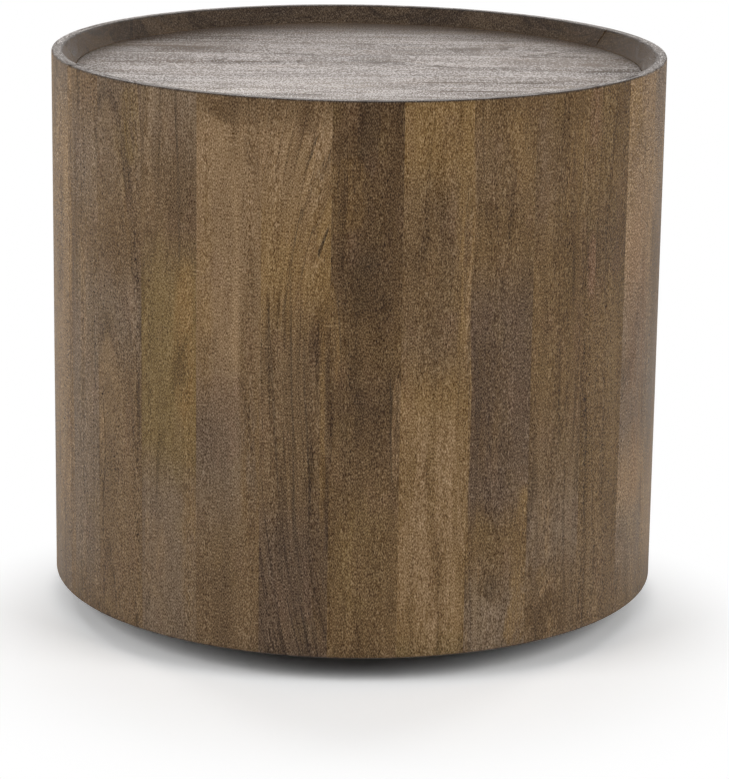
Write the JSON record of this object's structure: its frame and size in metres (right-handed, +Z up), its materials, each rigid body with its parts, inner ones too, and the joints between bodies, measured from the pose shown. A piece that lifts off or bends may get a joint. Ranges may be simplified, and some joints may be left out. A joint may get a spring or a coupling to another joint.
{
  "type": "side table",
  "caption": "Round drum side table of upright wooden staves with a recessed tray top, standing on a small set-back dark plinth.",
  "frame": {"origin": "centre of the drum at floor level, under the glides", "axes": "+Z up along the drum's axis, -Y towards the front seen in the picture, +X to that view's right"},
  "size_m": [0.5, 0.5, 0.46],
  "materials": {
    "drum_wood": "brown-grey stain under a thin satin lacquer",
    "tray_wood": "washed grey-brown stain under a satin lacquer",
    "batten_wood": "bare planed wood",
    "base_board": "bare plywood",
    "plinth_paint": "matt black paint",
    "glide_plastic": "matt moulded plastic",
    "screw_steel": "zinc-plated steel"
  },
  "bodies": {
    "root": {"base_panel": "base_board", "base_screws": "screw_steel", "batten_screws": "screw_steel", "glides": "glide_plastic", "plinth_screws": "screw_steel", "plinth_segment_1": "plinth_paint", "plinth_segment_2": "plinth_paint", "plinth_segment_3": "plinth_paint", "plinth_segment_4": "plinth_paint", "plinth_segment_5": "plinth_paint", "plinth_segment_6": "plinth_paint", "stave_01": "drum_wood", "stave_02": "drum_wood", "stave_03": "drum_wood", "stave_04": "drum_wood", "stave_05": "drum_wood", "stave_06": "drum_wood", "stave_07": "drum_wood", "stave_08": "drum_wood", "stave_09": "drum_wood", "stave_10": "drum_wood", "stave_11": "drum_wood", "stave_12": "drum_wood", "stave_13": "drum_wood", "stave_14": "drum_wood", "stave_15": "drum_wood", "stave_16": "drum_wood", "stave_17": "drum_wood", "stave_18": "drum_wood", "stave_19": "drum_wood", "stave_20": "drum_wood", "stave_21": "drum_wood", "stave_22": "drum_wood", "stave_23": "drum_wood", "stave_24": "drum_wood", "stave_25": "drum_wood", "stave_26": "drum_wood", "stave_27": "drum_wood", "stave_28": "drum_wood", "stave_29": "drum_wood", "tray_batten_left": "batten_wood", "tray_batten_right": "batten_wood", "tray_plank_1": "tray_wood", "tray_plank_2": "tray_wood", "tray_plank_3": "tray_wood", "tray_plank_4": "tray_wood", "tray_plank_5": "tray_wood", "tray_plank_6": "tray_wood", "tray_plank_7": "tray_wood", "tray_plank_8": "tray_wood", "tray_plank_9": "tray_wood"}
  },
  "joints": []
}
